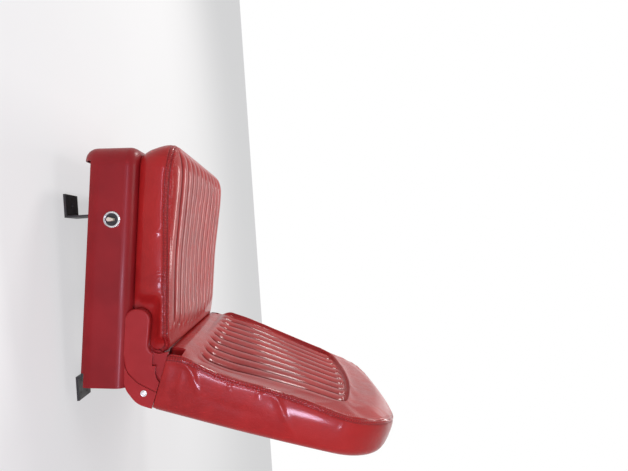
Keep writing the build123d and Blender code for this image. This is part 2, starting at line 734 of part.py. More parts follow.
def build_all():
    """Every node, placed in the seat's own axes."""
    parts = floor_track()
    base = {}
    for name, solid in (("rail_upper", upper_rail()), ("gearbox", gearbox())):
        for side, half in both_sides(solid).items():
            base[f"{name}_{side}"] = half
    base["cross_member_front"] = cross_member(cross_front_v)
    base["cross_member_rear"] = cross_member(cross_rear_v)
    base["seat_frame"] = seat_frame()
    base["seat_springs"] = Compound(seat_springs())
    base["motor_tray"] = motor_tray()
    base["seat_motor"] = seat_motor()
    base["drive_shafts"] = Compound(drive_shafts())
    base["base_skirt"] = base_skirt()
    base["switch_bezel"] = switch_bezel()
    base["switch_knob"] = switch_knob()
    base["seat_cushion"] = seat_cushion()
    for name, solid in (("hinge_arm", hinge_arm()), ("arm_cover", arm_cover()),
                        ("arm_end_cover", arm_end_cover()), ("arm_screw", arm_screw()),
                        ("pivot_pin", pivot_pin())):
        for side, half in both_sides(solid).items():
            base[f"{name}_{side}"] = half
    parts.update({name: seat_place * solid for name, solid in base.items()})

    loop, plate = back_frame()
    back = {"back_cushion": back_cushion(), "back_panel": back_panel(), "back_frame": loop}
    for side, half in both_sides(plate).items():
        back[f"hinge_plate_{side}"] = half
    parts.update({name: back_place * solid for name, solid in back.items()})
    return parts


if __name__ == "__main__":
    os.makedirs("parts", exist_ok=True)
    for name, solid in build_all().items():
        export_step(solid, f"parts/{name}.step")
    pivot = pivot_place.position
    print("pivot", round(pivot.Y, 3), round(pivot.Z, 3))
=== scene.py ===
"""Looks of the folding bucket seat: leather pads, stitching, painted covers, chrome and steel."""

import json
import math

import bmesh
import bpy
import numpy as np
from mathutils import Matrix, Vector
from mathutils.bvhtree import BVHTree
from mathutils.kdtree import KDTree


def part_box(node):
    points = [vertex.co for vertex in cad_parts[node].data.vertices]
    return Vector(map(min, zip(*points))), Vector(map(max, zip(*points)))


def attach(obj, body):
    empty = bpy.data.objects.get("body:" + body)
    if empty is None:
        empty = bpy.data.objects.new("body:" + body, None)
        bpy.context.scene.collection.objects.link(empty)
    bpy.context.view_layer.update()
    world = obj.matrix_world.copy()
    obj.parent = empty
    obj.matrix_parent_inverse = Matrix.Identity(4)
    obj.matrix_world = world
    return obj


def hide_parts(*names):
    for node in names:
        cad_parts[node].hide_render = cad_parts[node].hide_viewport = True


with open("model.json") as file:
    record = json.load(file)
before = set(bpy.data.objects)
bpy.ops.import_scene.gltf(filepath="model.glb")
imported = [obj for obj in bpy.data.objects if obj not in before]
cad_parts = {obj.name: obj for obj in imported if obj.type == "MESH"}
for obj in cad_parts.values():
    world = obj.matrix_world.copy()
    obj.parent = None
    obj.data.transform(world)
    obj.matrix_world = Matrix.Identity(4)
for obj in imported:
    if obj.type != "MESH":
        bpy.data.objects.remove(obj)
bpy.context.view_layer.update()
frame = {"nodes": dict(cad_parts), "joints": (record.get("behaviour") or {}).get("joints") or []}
scene = bpy.context.scene
nodes = frame["nodes"]
joints = {joint["name"]: joint for joint in frame["joints"]}

# Place of the fold axis in millimetres: rearwards and up in the seat's axes, then in the backrest's
PIVOT_V, PIVOT_W = 147.2, 212.8
PIVOT_N, PIVOT_U = 27.5, 18.0
LEAN = math.radians(20)

# Origin, rearward and upward direction of the seat and of the backrest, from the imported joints
pivot = np.array(joints["back_fold"]["pos_m"])
seat_v = -np.array(joints["seat_slide"]["axis"])
seat_w = np.array([0.0, -seat_v[2], seat_v[1]])
back_n = np.array([0.0, math.cos(LEAN), -math.sin(LEAN)])
back_u = np.array([0.0, math.sin(LEAN), math.cos(LEAN)])
SEAT_AXES = (pivot - PIVOT_V / 1000 * seat_v - PIVOT_W / 1000 * seat_w, seat_v, seat_w)
BACK_AXES = (pivot - PIVOT_N / 1000 * back_n - PIVOT_U / 1000 * back_u, back_n, back_u)


def placed(points, axes):
    """Points in millimetres in a piece's own axes, as metres in the shared frame."""
    origin, across, up = axes
    points = np.asarray(points, float) / 1000
    world = origin + points[:, 1:2] * across + points[:, 2:3] * up
    world[:, 0] += points[:, 0]
    return world


def smooth(t):
    """Eased step from 0 to 1."""
    t = np.clip(t, 0, 1)
    return t * t * (3 - 2 * t)


def curve(*rows):
    """Smooth function of one value through rows of (value, result)."""
    xs, ys = (np.array(column, float) for column in zip(*rows))
    slopes = np.gradient(ys, xs)

    def at(x):
        x = np.clip(np.asarray(x, float), xs[0], xs[-1])
        i = np.clip(np.searchsorted(xs, x) - 1, 0, len(xs) - 2)
        h = xs[i + 1] - xs[i]
        t = (x - xs[i]) / h
        low = ys[i] * (1 + 2 * t) + h * slopes[i] * t
        high = ys[i + 1] * (3 - 2 * t) - h * slopes[i + 1] * (1 - t)
        return low * (1 - t) ** 2 + high * t ** 2
    return at


def roll(t, power):
    """Rise of a rounded edge, from 0 at the seam to 1."""
    t = np.clip(t, 0, 1)
    return (1 - (1 - t) ** power) ** (1 / power)


class Sheets:
    """Grids of points that are welded where they meet."""

    def __init__(self):
        self.points, self.tags, self.faces, self.found = [], [], [], {}

    def add(self, points, tags, close=False, flip=False):
        """points and tags are arrays of (rows, columns, 3) and (rows, columns, tag count)."""
        rows, columns = points.shape[:2]
        index = np.empty((rows, columns), int)
        for i in range(rows):
            for j in range(columns):
                key = tuple(np.round(points[i, j], 2))
                if key not in self.found:
                    self.found[key] = len(self.points)
                    self.points.append(points[i, j])
                    self.tags.append(tags[i, j])
                index[i, j] = self.found[key]
        wrap = columns if close else columns - 1
        for i in range(rows - 1):
            for j in range(wrap):
                k = (j + 1) % columns
                face = [index[i, j], index[i, k], index[i + 1, k], index[i + 1, j]]
                face = [p for n, p in enumerate(face) if p != face[n - 1]]
                if len(face) > 2:
                    self.faces.append(face[::-1] if flip else face)
        return index


def mesh_object(name, points, faces, tags=None, names=()):
    """New object in the scene, with a point attribute for each column of tags."""
    mesh = bpy.data.meshes.new(name)
    mesh.from_pydata([tuple(p) for p in points], [], [list(map(int, f)) for f in faces])
    mesh.update()
    for column, tag in enumerate(names):
        attribute = mesh.attributes.new(tag, "FLOAT", "POINT")
        attribute.data.foreach_set("value", np.asarray(tags)[:, column].astype(np.float32))
    piece = bpy.data.objects.new(name, mesh)
    scene.collection.objects.link(piece)
    return piece


def coordinates(mesh):
    co = np.empty(len(mesh.vertices) * 3, np.float32)
    mesh.vertices.foreach_get("co", co)
    return co.reshape(-1, 3).astype(float)


def tag_of(mesh, name):
    values = np.empty(len(mesh.vertices), np.float32)
    mesh.attributes[name].data.foreach_get("value", values)
    return values.astype(float)


def normals_of(mesh):
    normals = np.empty(len(mesh.vertices) * 3, np.float32)
    mesh.vertex_normals.foreach_get("vector", normals)
    return normals.reshape(-1, 3).astype(float)


def shade_smooth(mesh):
    for polygon in mesh.polygons:
        polygon.use_smooth = True


def apply_modifier(piece, modifier):
    """Applied by the operator, which carries the attributes along."""
    with bpy.context.temp_override(object=piece, active_object=piece, selected_objects=[piece]):
        bpy.ops.object.modifier_apply(modifier=modifier.name)


SWELL_PRESSURE, SWELL_STEPS, SWELL_LIMIT = 4.0, 20, 7.0


def inflate(points, faces, pins):
    """Cloth pass on a pad's skin in millimetres: pinned seams hold, and air swells the rest."""
    piece = mesh_object("swell", points / 1000, faces)
    group = piece.vertex_groups.new(name="held")
    for weight in np.unique(pins):
        if weight > 0:
            group.add(np.nonzero(pins == weight)[0].tolist(), float(weight), "REPLACE")
    cloth = piece.modifiers.new("Cloth", "CLOTH")
    settings = cloth.settings
    settings.vertex_group_mass = "held"
    settings.quality = 6
    settings.mass = 0.4
    settings.tension_stiffness = settings.compression_stiffness = 20
    settings.shear_stiffness = 8
    settings.bending_stiffness = 0.8
    settings.use_pressure = True
    settings.uniform_pressure_force = SWELL_PRESSURE
    settings.effector_weights.gravity = 0
    cloth.collision_settings.use_collision = False
    for step in range(1, SWELL_STEPS + 1):
        scene.frame_set(step)
    swollen = piece.evaluated_get(bpy.context.evaluated_depsgraph_get()).to_mesh()
    moved = coordinates(swollen) * 1000
    scene.frame_set(1)
    bpy.data.objects.remove(piece)
    shift = moved - points
    length = np.linalg.norm(shift, axis=1, keepdims=True) + 1e-9
    return points + shift * (SWELL_LIMIT * np.tanh(length / SWELL_LIMIT) / length)


def subdivide(piece):
    """One level of subdivision, which keeps open corners."""
    modifier = piece.modifiers.new("Subdivision", "SUBSURF")
    modifier.levels = modifier.render_levels = 1
    modifier.boundary_smooth = "PRESERVE_CORNERS"
    apply_modifier(piece, modifier)


def fill_holes(piece):
    """Closes what is open in a mesh and turns its faces outward."""
    work = bmesh.new()
    work.from_mesh(piece.data)
    bmesh.ops.holes_fill(work, edges=[e for e in work.edges if e.is_boundary], sides=0)
    bmesh.ops.recalc_face_normals(work, faces=work.faces)
    work.to_mesh(piece.data)
    work.free()


def steps(low, high, size):
    """Values from low to high, about size apart."""
    return np.linspace(low, high, max(2, round(abs(high - low) / size) + 1))


def pleat_columns(half, count):
    """Columns across the pleats, closer together beside each stitched valley."""
    pitch = 2 * half / count
    share = np.array([0, 0.035, 0.1, 0.2, 0.34, 0.5, 0.66, 0.8, 0.9, 0.965])
    return np.concatenate([pitch * (i + share) - half for i in range(count)] + [[half]])


# Cushion, in the seat's axes: x, v rearwards, w up
CUSHION_HALF, CUSHION_FRONT, CUSHION_REAR, CUSHION_FLOOR = 271.0, -350.0, 97.0, 119.3
CUSHION_CORNER = 55.0
NECK_HALF = 255.6
PLEATS, CUSHION_PLEAT_HALF = 10, 235.0
CUSHION_PITCH = 2 * CUSHION_PLEAT_HALF / PLEATS
SCOOP_R, SCOOP_V, SCOOP_W = 43.5, 156.0, 158.0
# Crown on the far side, its sag on the near side, and the top seam, each over v
far_height = curve((-350, 222), (-328, 224), (-302, 226), (-269, 226), (-202, 222), (-101, 215), (0, 213),
                   (60, 212), (98, 209))
near_sag = curve((-350, 20), (-200, 19), (0, 13), (60, 10), (98, 8))
seam_height = curve((-350, 190), (-314, 190), (-266, 186.5), (-223, 186), (-136, 189), (-6, 194), (98, 198),
                    (160, 199))


def cushion_inside(x, v):
    """Distance in from the seam's rounded outline."""
    across = np.abs(x) - (CUSHION_HALF - CUSHION_CORNER)
    ahead = (CUSHION_FRONT + CUSHION_CORNER) - v
    both = np.hypot(np.maximum(across, 0), np.maximum(ahead, 0))
    return CUSHION_CORNER - np.where((across > 0) & (ahead > 0), both, np.maximum(across, ahead))


def cushion_top(x, v):
    """Crowned top: rounded borders, worn low on the near side and hollow in the middle."""
    inside = np.maximum(cushion_inside(x, v), 0)
    frontness = smooth((-250 - v) / 60)
    power = 2.3 - 0.5 * frontness
    crest = far_height(v) - near_sag(v) * (x + CUSHION_HALF) / (2 * CUSHION_HALF)
    crest = crest - 5 * smooth(1 - np.abs(x) / 200) * smooth((v + 330) / 120) * smooth((60 - v) / 60)
    seam = seam_height(v)
    return seam + (crest - seam) * roll(inside / CUSHION_CORNER, power)


def arm_room(x, v, w):
    """Pulls the side of the cushion in beside the hinge arms."""
    low = smooth((v + 24) / 31) * smooth((186 - w) / 21)
    neck = smooth((v - 74) / 23)
    share = np.maximum(low, neck)
    narrow = np.sign(x) * np.minimum(np.abs(x), NECK_HALF)
    return x * (1 - share) + narrow * share


PLEAT_HEIGHT, PLEAT_SINK, VALLEY_PIN = 7.6, 3.9, 0.9
TAG_NAMES = ("rest_x", "rest_a", "rest_b", "boxing")


def pleat_shape(across):
    """Height of a stuffed pleat over a place that is 0 at its middle and 1 at the stitched valley."""
    return PLEAT_HEIGHT * np.clip(1 - across ** 1.9, 0, 1) ** 0.72 - PLEAT_SINK


def pleat_marks(across, reach):
    """Attributes for the leather: the valleys, where shade is painted dark, and the ridges, where cracks and
    paler streaks are painted.
    """
    return {"valley": np.clip((across - 0.72) / 0.28, 0, 1) * reach,
            "ridge": np.clip(1 - across / 0.5, 0, 1) * reach}


def nearest_on(line, points):
    """Distance to the nearest point of a line, and that point's number."""
    tree = KDTree(len(line))
    for i, p in enumerate(line):
        tree.insert(p, i)
    tree.balance()
    found = [tree.find(p)[1:] for p in points]
    return np.array([f[1] for f in found]), np.array([f[0] for f in found])


def evenly(points, spacing, *also):
    """Points at even spacing along a line, with other columns carried along."""
    run = np.concatenate([[0], np.cumsum(np.linalg.norm(np.diff(points, axis=0), axis=1))])
    along = np.arange(0, run[-1], spacing)
    made = [np.stack([np.interp(along, run, rows[:, k]) for k in range(3)], 1) for rows in (points,) + also]
    return (along, *made)


SEAM_BAND, STITCH_PITCH, STITCH_LENGTH, THREAD_R = 9.0, 5.6, 3.8, 0.6


def seam_relief(co, seam, boxing):
    """Sunk seam with a lip on both sides, and on the boxing the sunk stitch line that ends a flat band."""
    along, line = evenly(seam, 1.0)
    gap, index = nearest_on(line, co)
    relief = 0.9 * np.exp(-((gap - 4.5) / 2.4) ** 2) - 1.5 * np.exp(-(gap / 1.7) ** 2)
    relief -= 1.3 * boxing * np.exp(-((gap - SEAM_BAND) / 1.8) ** 2)
    return relief, np.where(boxing, gap, -gap), along[index]


def creases(co, rx, allowed, rows):
    """Height of folds drawn as lines on the sides: side, height, width, then points (a, b)."""
    total = np.zeros(len(co))
    for side, height, width, line in rows:
        near = allowed & (rx * side > 0)
        _, flat = evenly(np.array([(0, a, b) for a, b in line], float), 1.0)
        spots = np.nonzero(near)[0]
        places = np.column_stack([np.zeros(len(spots)), co[spots, 1], co[spots, 2]])
        gap, index = nearest_on(flat, places)
        ends = np.minimum(index, len(flat) - 1 - index) / max(1, 0.3 * len(flat))
        total[spots] += height * np.exp(-(gap / width) ** 2) * (0.35 + 0.65 * smooth(ends))
    return total


def stitches(name, co, mesh, seam, rows, axes):
    """Threads of a top-stitched seam: one row for each (direction, distance) from it."""
    surface = BVHTree.FromPolygons([Vector(p) for p in co], [tuple(p.vertices) for p in mesh.polygons])
    points, faces = [], []
    # Each thread: place along its length, share of its radius, height over the leather
    rings = ((-0.5, 0.35, -0.25), (-0.36, 1.0, 0.1), (0.36, 1.0, 0.1), (0.5, 0.35, -0.25))
    corners = 6
    for direction, distance in rows:
        _, line, way = evenly(seam, STITCH_PITCH, direction)
        for i in range(1, len(line) - 1):
            place, normal = surface.find_nearest(Vector(line[i] + way[i] * distance))[:2]
            forward = Vector(line[i + 1] - line[i - 1]).normalized()
            beside = forward.cross(normal).normalized()
            start = len(points)
            for share, size, lift in rings:
                centre = place + forward * (share * STITCH_LENGTH) + normal * lift
                for k in range(corners):
                    turn = 2 * math.pi * k / corners
                    spoke = beside * math.cos(turn) + normal * math.sin(turn)
                    points.append(tuple(centre + spoke * (THREAD_R * size)))
            for first in range(start, len(points) - corners, corners):
                for k in range(corners):
                    a, b = first + k, first + (k + 1) % corners
                    faces.append((a, b, b + corners, a + corners))
            faces.append(tuple(range(start + corners - 1, start - 1, -1)))
            faces.append(tuple(range(len(points) - corners, len(points))))
    threads = mesh_object(name, placed(points, axes), faces)
    shade_smooth(threads.data)
    return threads


# Folds of the cushion's boxing: side, height and width in millimetres, then points (v, w)
CUSHION_CREASES = (
    (1, 1.6, 4.5, ((29, 192), (34, 177), (39, 163))),
    (1, 1.5, 5.0, ((-23, 182), (-15, 155))),
    (1, 1.3, 4.0, ((-52, 186), (-50, 160))),
    (1, 1.2, 4.0, ((-66, 186), (-70, 165))),
    (1, 1.4, 9.0, ((-160, 178), (-146, 150), (-150, 135))),
    (1, -1.6, 12.0, ((-250, 160), (-200, 146), (-160, 150))),
    (-1, 1.5, 5.0, ((-30, 180), (-24, 152))),
    (-1, 1.3, 5.0, ((12, 186), (16, 166))),
    (-1, 1.3, 8.0, ((-190, 176), (-176, 148))))


def make_cushion():
    """Cushion pad and its threads: pleated top, hollow at the rear, boxing and rear wall."""
    pleats = pleat_columns(CUSHION_PLEAT_HALF, PLEATS)
    edge = CUSHION_PLEAT_HALF + np.array([5, 10.5, 16.5, 22.5, 28, 32, 34.6, 36])
    columns = np.concatenate([-edge[::-1], pleats, edge])
    ahead = CUSHION_FRONT + CUSHION_CORNER
    corner = np.maximum(np.abs(columns) - (CUSHION_HALF - CUSHION_CORNER), 0)
    first = ahead - np.sqrt(np.maximum(CUSHION_CORNER ** 2 - corner ** 2, 0))
    length = CUSHION_REAR - CUSHION_FRONT
    share = np.concatenate([[0, 2, 6, 12, 19, 27, 36, 46], steps(55, length, 9)]) / length
    v = first[None, :] + share[:, None] * (CUSHION_REAR - first[None, :])
    x = np.repeat(columns[None, :], len(v), 0)
    w = cushion_top(x, v)
    # Hollow round the fold axis, then the rear wall's top
    crest_drop = 2.5
    start = np.arcsin(np.clip((PIVOT_W - w[-1] + crest_drop) / SCOOP_R, 0, 1))
    scoop = [start + (math.pi / 2 - start) * t for t in np.linspace(0.0, 1, 10)]
    v = np.vstack([v] + [PIVOT_V - SCOOP_R * np.cos(a) for a in scoop] + [np.full_like(columns, SCOOP_V)])
    w = np.vstack([w] + [PIVOT_W - SCOOP_R * np.sin(a) for a in scoop] + [np.full_like(columns, SCOOP_W)])
    # Narrower between the hinge arms: only the border beside the pleats gives way
    border_width = CUSHION_HALF - CUSHION_PLEAT_HALF
    narrowing = smooth((v - 74) / 23) * (CUSHION_HALF - NECK_HALF)
    border = np.maximum(np.abs(columns) - CUSHION_PLEAT_HALF, 0) / border_width
    x = np.sign(columns) * (np.abs(columns) - border * narrowing)
    facing = np.dstack([x, v, w])
    plain_x = np.repeat(columns[None, :], len(v), 0)
    sheets = Sheets()
    top = sheets.add(facing, np.dstack([plain_x, v, w, np.zeros_like(v)]))
    # Boxing: down from the seam, which runs along the right side, the front and the left side
    loop = [(i, 0) for i in range(len(v) - 1, 0, -1)] + [(0, j) for j in range(len(columns))]
    loop += [(i, len(columns) - 1) for i in range(1, len(v))]
    seam = np.array([facing[i, j] for i, j in loop])
    out_x = np.where(np.abs(seam[:, 0]) > CUSHION_HALF - CUSHION_CORNER,
                     np.sign(seam[:, 0]) * (np.abs(seam[:, 0]) - CUSHION_HALF + CUSHION_CORNER), 0)
    out_v = np.minimum(seam[:, 1] - ahead, 0)
    length = np.hypot(out_x, out_v)
    out_x, out_v = out_x / length, out_v / length
    front_bulge = curve((0, 0), (0.13, 3), (0.38, 1), (0.6, -5), (0.85, -13), (1, -22))
    side_bulge = curve((0, 0), (0.2, 4.5), (0.42, 5.5), (0.65, 2.5), (0.85, -4), (1, -11))
    rows = np.array([0, 0.02, 0.05, 0.09, 0.13, 0.18, 0.25, 0.34, 0.45, 0.57, 0.69, 0.81, 0.92, 1])
    strip = []
    for t in rows:
        bulge = side_bulge(t) + (front_bulge(t) - side_bulge(t)) * out_v ** 2
        sx, sv = seam[:, 0] + out_x * bulge, seam[:, 1] + out_v * bulge
        sw = seam[:, 2] + (CUSHION_FLOOR - seam[:, 2]) * t
        strip.append(np.stack([arm_room(sx, sv, sw) if t > 0 else sx, sv, sw], 1))
    strip = np.array(strip)
    sheets.add(strip, np.dstack([strip, np.repeat(rows[:, None], len(loop), 1)]), flip=True)
    # Rear wall, as wide as the boxing's ends
    last = facing[-1]
    wall = np.array([np.stack([
        last[:, 0] + (strip[k, -1, 0] - strip[0, -1, 0]) * last[:, 0] / abs(last[-1, 0]),
        last[:, 1], last[:, 2] + (CUSHION_FLOOR - last[:, 2]) * t], 1) for k, t in enumerate(rows)])
    wall[:, 0] = strip[:, 0]
    wall[:, -1] = strip[:, -1]
    sheets.add(wall, np.dstack([wall, np.repeat(rows[:, None], len(columns), 1)]))
    points, tag = np.array(sheets.points), np.array(sheets.tags)
    rest_x, rest_v, boxing = tag[:, 0], tag[:, 1], tag[:, 3]
    # Held in the cloth pass: seam, foot, rear and the hollows beside the arms, and less so the valleys
    pins = np.zeros(len(points))
    for i, j in loop:
        pins[top[i, j]] = 1
    pins[boxing > 0.93] = 1
    pins[points[:, 1] > 84] = 1
    pins[(boxing > 0) & (np.abs(points[:, 0]) < CUSHION_HALF - 3) & (points[:, 1] > -30)] = 1
    stitched = np.abs((rest_x + CUSHION_PLEAT_HALF) / CUSHION_PITCH % 1) < 0.002
    stitched &= (boxing == 0) & (np.abs(rest_x) < CUSHION_PLEAT_HALF + 1) & (rest_v < 80)
    pins[stitched] = VALLEY_PIN
    points = inflate(points, sheets.faces, pins)
    piece = mesh_object("cushion_pad", points, sheets.faces, tag, TAG_NAMES)
    subdivide(piece)
    fill_holes(piece)
    mesh = piece.data
    co, normals = coordinates(mesh), normals_of(mesh)
    rest_x, rest_v, boxing = tag_of(mesh, "rest_x"), tag_of(mesh, "rest_a"), tag_of(mesh, "boxing")
    across = np.abs((rest_x + CUSHION_PLEAT_HALF) / CUSHION_PITCH % 1 - 0.5) * 2
    # The pleats end in a shallow arch before the rear
    rear = 93 - 28 * (rest_x / CUSHION_PLEAT_HALF) ** 2
    reach = smooth((rest_v + 346) / 24) * smooth((rear - rest_v) / 26)
    reach *= smooth((CUSHION_PLEAT_HALF + 5 - np.abs(rest_x)) / 6) * ((boxing < 0.01) & (rest_v < 100))
    co += normals * (pleat_shape(across) * reach)[:, None]
    relief, gap, run = seam_relief(co, seam, boxing > 0)
    relief += creases(co, rest_x, boxing > 0.04, CUSHION_CREASES)
    co += normals * relief[:, None]
    write_back(piece, co, SEAT_AXES, seam_gap=gap, seam_run=run, **pleat_marks(across, reach))
    inward = np.stack([-out_x, -out_v, np.zeros_like(out_x)], 1)
    downward = np.array([[0.0, 0.0, -1.0]]).repeat(len(seam), 0)
    thread_rows = ((inward, 4.0), (downward, 6.0))
    return piece, stitches("cushion_stitches", co, mesh, seam, thread_rows, SEAT_AXES)


# Room for the hinge arm in the backrest's foot: from and to x, then the outline (n, u)
NOTCH_X = (238.5, 275.6)
NOTCH = ((-60, -8), (130, -8), (130, 6), (64, 6), (64, 42), (11, 42), (11, 28), (-60, 28))


def cut_notch(piece, side):
    """Cuts the room for the hinge arm out of one side."""
    count = len(NOTCH)
    corners = [(side * x, n, u) for x in NOTCH_X for n, u in NOTCH]
    faces = [tuple(range(count)), tuple(range(2 * count - 1, count - 1, -1))]
    faces += [(i, i + count, (i + 1) % count + count, (i + 1) % count) for i in range(count)]
    cutter = mesh_object("cutter", corners, faces)
    fill_holes(cutter)
    cut = piece.modifiers.new("Cut", "BOOLEAN")
    cut.operation, cut.solver, cut.object = "DIFFERENCE", "EXACT", cutter
    apply_modifier(piece, cut)
    bpy.data.objects.remove(cutter)


def write_back(piece, co, axes, **attributes):
    """Puts the points into the shared frame and stores what the leather reads."""
    mesh = piece.data
    mesh.vertices.foreach_set("co", placed(co, axes).astype(np.float32).ravel())
    for name, values in attributes.items():
        attribute = mesh.attributes.get(name) or mesh.attributes.new(name, "FLOAT", "POINT")
        attribute.data.foreach_set("value", np.asarray(values, np.float32))
    mesh.update()
    shade_smooth(mesh)
    mesh.set_sharp_from_angle(angle=math.radians(62))


# Backrest, in its own axes: x, n rearwards, u up
BACK_HALF, BACK_TOP, SHOULDER_R, CROWN_R = 281.5, 579.5, 137.5, 447.5
SHOULDER_X = BACK_HALF - SHOULDER_R
CROWN_U = BACK_TOP - CROWN_R
SHOULDER_U = CROWN_U + math.sqrt((CROWN_R - SHOULDER_R) ** 2 - SHOULDER_X ** 2)
MEET_X = CROWN_R * SHOULDER_X / (CROWN_R - SHOULDER_R)
PANEL_HALF, PANEL_TOP, PANEL_CROWN, PANEL_CORNER = 226.0, 445.0, 800.0, 36.0
PANEL_PLEAT_HALF = PANEL_HALF - 4
PANEL_PITCH = 2 * PANEL_PLEAT_HALF / PLEATS
REAR_EDGE_R, REAR_LIP_N = 23.0, 104.5
# The foot is a roll round the fold axis that reaches down to ROLL_U between the arms
ROLL_U = -8
# Front seam, crown on the far and on the near side, and rear face, each as n over u
back_seam_n = curve((0, -2), (18, -5.5), (36, -7), (60, -4), (90, 1.5), (119, 6), (142, 7.5), (164, 8.5),
                    (230, 8.5), (270, 10.5), (306, 13.5), (340, 17), (370, 20), (400, 23), (434, 24),
                    (463, 23.5), (489, 24), (516, 26), (540, 34), (560, 44), (580, 56))
ROLL_ROWS = ((ROLL_U, -5.3), (-4, -8.1), (0, -10.4), (9, -14.0), (18, -15), (27, -14.3))
far_crest = curve(*ROLL_ROWS, (36, -12), (48, -24), (62, -33), (90, -35), (122, -35), (186, -28), (249, -18),
                  (328, -6), (401, 3), (460, 8), (533, 10), (580, 12))
near_crest = curve(*ROLL_ROWS, (36, -11), (48, -5), (62, 3), (90, 8), (135, 13), (180, 11), (240, 9.5),
                   (323, 9), (370, 11.5), (424, 13.5), (460, 10), (533, 10), (580, 12))
rear_n = curve((0, 121), (210, 121), (420, 116), (520, 112), (582, 110))


def arch_top(x):
    """Height of the arched outline over x."""
    x = np.abs(x)
    crown = CROWN_U + np.sqrt(np.maximum(CROWN_R ** 2 - x ** 2, 0))
    shoulder = SHOULDER_U + np.sqrt(np.maximum(SHOULDER_R ** 2 - np.maximum(x - SHOULDER_X, 0) ** 2, 0))
    return np.where(x < MEET_X, crown, shoulder)


def arch_normal(x, u):
    """Outward direction and distance in from the arched outline."""
    side = np.sign(x)
    ax = np.abs(x)
    straight = u < SHOULDER_U
    crown = (ax * (CROWN_R - SHOULDER_R) < SHOULDER_X * (u - CROWN_U)) & ~straight
    centre_x = np.where(crown, 0, SHOULDER_X)
    centre_u = np.where(crown, CROWN_U, SHOULDER_U)
    radius = np.where(crown, CROWN_R, SHOULDER_R)
    dx, du = ax - centre_x, u - centre_u
    length = np.hypot(dx, du) + 1e-9
    nx = np.where(straight, 1.0, dx / length)
    nu = np.where(straight, 0.0, du / length)
    inside = np.where(straight, BACK_HALF - ax, radius - length)
    return nx * side, nu, inside


def panel_top(x):
    """Height of the sunk panel's arched upper edge over x."""
    return PANEL_TOP - PANEL_CROWN + np.sqrt(PANEL_CROWN ** 2 - x ** 2)


def panel_inside(x, u):
    """Distance in from the sunk panel's edge."""
    across = np.abs(x) - (PANEL_HALF - PANEL_CORNER)
    above = u - (panel_top(x) - PANEL_CORNER)
    both = np.hypot(np.maximum(across, 0), np.maximum(above, 0))
    return PANEL_CORNER - np.where((across > 0) & (above > 0), both, np.maximum(across, above))


def back_face(x, u):
    """Front of the backrest: bolsters from the seam, crushed on the near side, round the sunk panel."""
    _, nu, inside = arch_normal(x, u)
    inside = np.maximum(inside, 0)
    seam = back_seam_n(u + nu * inside)
    toward = np.clip((x + 250) / 480, 0, 1)
    crest = far_crest(u) + (near_crest(u) - far_crest(u)) * toward
    top = np.clip(nu, 0, 1) ** 2
    power = 1.9 - 0.5 * top - 0.75 * smooth((x - 150) / 70) * smooth((500 - u) / 60)
    margin = 55 - 20 * smooth((48 - u) / 14)
    face = seam + (crest - seam) * roll(inside / margin, power)
    depth = panel_inside(x, u)
    sunk = smooth(depth / 5 + 0.5) * smooth((u - 40) / 40)
    slot = np.exp(-((depth - 4) / 3.0) ** 2) * smooth((u - 350) / 40)
    bead = np.exp(-((depth - 11) / 2.4) ** 2) * smooth((u - 350) / 40)
    return face + 13 * sunk + 4.5 * slot - 3.0 * bead


